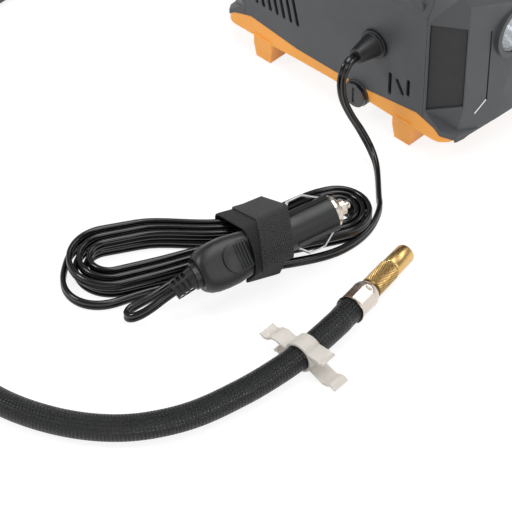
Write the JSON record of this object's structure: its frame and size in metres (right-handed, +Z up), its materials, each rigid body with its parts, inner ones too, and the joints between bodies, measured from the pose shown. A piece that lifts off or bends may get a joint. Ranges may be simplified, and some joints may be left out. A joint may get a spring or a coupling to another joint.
{
  "type": "tire inflator",
  "caption": "Portable electric tire inflator: angular housing with a carry handle on a footed tray, wound power lead with a car-socket plug, and a braided air hose with a screw-on chuck.",
  "frame": {"origin": "middle of the body on the surface it stands on", "axes": "+X towards the lamp end, -Y towards the side where the power lead leaves, +Z up"},
  "size_m": [0.3664, 0.3924, 0.1526],
  "materials": {
    "shell_plastic": "satin, fine moulded grain",
    "base_plastic": "satin",
    "soft_rubber": "matt",
    "pad_plate": "matt, soft to the touch",
    "black_plastic": "satin to gloss",
    "silver_trim": "satin metallised",
    "display_glass": "tinted, clear",
    "lamp_glass": "clear",
    "circuit_board": "satin",
    "button_red": "satin",
    "button_grey": "satin",
    "steel": "satin",
    "cast_alloy": "cast and machined",
    "brass": "machined, knurled grip",
    "nylon": "satin",
    "hose_rubber": "satin",
    "lead_vinyl": "satin to gloss",
    "nickel": "polished",
    "strap_fabric": "woven hook and loop",
    "hose_braid": "braided, slightly glossy",
    "clip_plastic": "translucent, milky"
  },
  "bodies": {
    "root": {"shell_left": "shell_plastic", "shell_right": "shell_plastic", "front_cap": "shell_plastic", "rear_cap": "shell_plastic", "handle_arch": "shell_plastic", "fuse_holder": "shell_plastic", "base_tray": "base_plastic", "foot_pads": "soft_rubber", "handle_grip": "soft_rubber", "corner_pads": "pad_plate", "display_bezel": "black_plastic", "switch_frame": "black_plastic", "motor_end_cap": "black_plastic", "plug_head": "black_plastic", "plug_barrel": "black_plastic", "plug_relief": "black_plastic", "cord_gland": "black_plastic", "hose_gland": "black_plastic", "trim_bars": "silver_trim", "lamp_reflector": "silver_trim", "display_window": "display_glass", "lamp_lens": "lamp_glass", "display_board": "circuit_board", "motor_can": "steel", "motor_saddle": "steel", "reed_valve": "steel", "case_screws": "steel", "plug_spring": "steel", "gear_frame": "cast_alloy", "cylinder": "cast_alloy", "cylinder_head": "cast_alloy", "crank_bearing": "brass", "chuck_stem": "brass", "air_line": "hose_rubber", "cord_tail": "lead_vinyl", "cord_hank": "lead_vinyl", "cord_lead": "lead_vinyl", "plug_collar": "nickel", "hose_ferrule": "nickel", "cord_strap": "strap_fabric", "hose_tube": "hose_braid", "hose_clip": "clip_plastic"},
    "motor_rotor": {"armature_shaft": "steel", "drive_pinion": "brass", "cooling_fan": "nylon"},
    "crank": {"crank_gear": "steel", "crank_pin": "steel"},
    "rod": {"con_rod": "cast_alloy"},
    "piston_body": {"piston": "cast_alloy", "piston_seal": "soft_rubber"},
    "rocker": {"rocker_switch": "button_red"},
    "power_button": {"button_power": "button_red"},
    "mode_button": {"button_mode": "button_grey"},
    "plus_button": {"button_plus": "button_grey"},
    "minus_button": {"button_minus": "button_grey"},
    "fuse_plug": {"fuse_cap": "black_plastic"},
    "tip_pin": {"plug_pin": "nickel"},
    "near_contact": {"plug_contact_near": "steel"},
    "far_contact": {"plug_contact_far": "steel"},
    "chuck_nut": {"chuck_sleeve": "brass"}
  },
  "joints": [
    {"name": "crank_spin", "type": "hinge", "parent": "root", "child": "crank", "pos_m": [0, 0, 0.0596], "axis": [1, 0, 0], "continuous": true},
    {"name": "motor_spin", "type": "hinge", "parent": "root", "child": "motor_rotor", "pos_m": [0, 0, 0.038], "axis": [1, 0, 0], "continuous": true},
    {"name": "rod_pivot", "type": "hinge", "parent": "crank", "child": "rod", "pos_m": [0.013, 0, 0.0551], "axis": [1, 0, 0], "continuous": true},
    {"name": "piston_slide", "type": "slide", "parent": "root", "child": "piston_body", "axis": [0, 0, 1], "range_m": [0, 0.009]},
    {"name": "rocker_tilt", "type": "hinge", "parent": "root", "child": "rocker", "pos_m": [0.048, 0.0435, 0.068], "axis": [1, 0, 0], "range_deg": [0, 14]},
    {"name": "power_press", "type": "slide", "parent": "root", "child": "power_button", "axis": [0, -1, 0], "range_m": [0, 0.001], "stiffness_N_per_m": 300, "springref_m": -0.002},
    {"name": "mode_press", "type": "slide", "parent": "root", "child": "mode_button", "axis": [0, -1, 0], "range_m": [0, 0.001], "stiffness_N_per_m": 300, "springref_m": -0.002},
    {"name": "plus_press", "type": "slide", "parent": "root", "child": "plus_button", "axis": [0, -1, 0], "range_m": [0, 0.001], "stiffness_N_per_m": 300, "springref_m": -0.002},
    {"name": "minus_press", "type": "slide", "parent": "root", "child": "minus_button", "axis": [0, -1, 0], "range_m": [0, 0.001], "stiffness_N_per_m": 300, "springref_m": -0.002},
    {"name": "fuse_cap_turn", "type": "hinge", "parent": "root", "child": "fuse_plug", "pos_m": [0.0194, -0.0488, 0.017], "axis": [0, 1, 0], "range_deg": [0, 90]},
    {"name": "tip_pin_press", "type": "slide", "parent": "root", "child": "tip_pin", "axis": [-0.294, -0.9497, -0.108], "range_m": [0, 0.0025], "stiffness_N_per_m": 400, "springref_m": -0.003, "deforming": ["plug_spring"]},
    {"name": "near_contact_press", "type": "slide", "parent": "root", "child": "near_contact", "axis": [-0.6981, 0.1361, 0.703], "range_m": [0, 0.0018], "stiffness_N_per_m": 500, "springref_m": -0.002},
    {"name": "far_contact_press", "type": "slide", "parent": "root", "child": "far_contact", "axis": [0.6981, -0.1361, -0.703], "range_m": [0, 0.0018], "stiffness_N_per_m": 500, "springref_m": -0.002},
    {"name": "chuck_spin", "type": "hinge", "parent": "root", "child": "chuck_nut", "pos_m": [0.127, -0.171, 0.0093], "axis": [-0.1818, 0.981, -0.068], "continuous": true}
  ],
  "couplings": [
    {"joint": "motor_spin", "follows": "crank_spin", "ratio": -4.4},
    {"joint": "rod_pivot", "follows": "crank_spin", "ratio": -1}
  ]
}
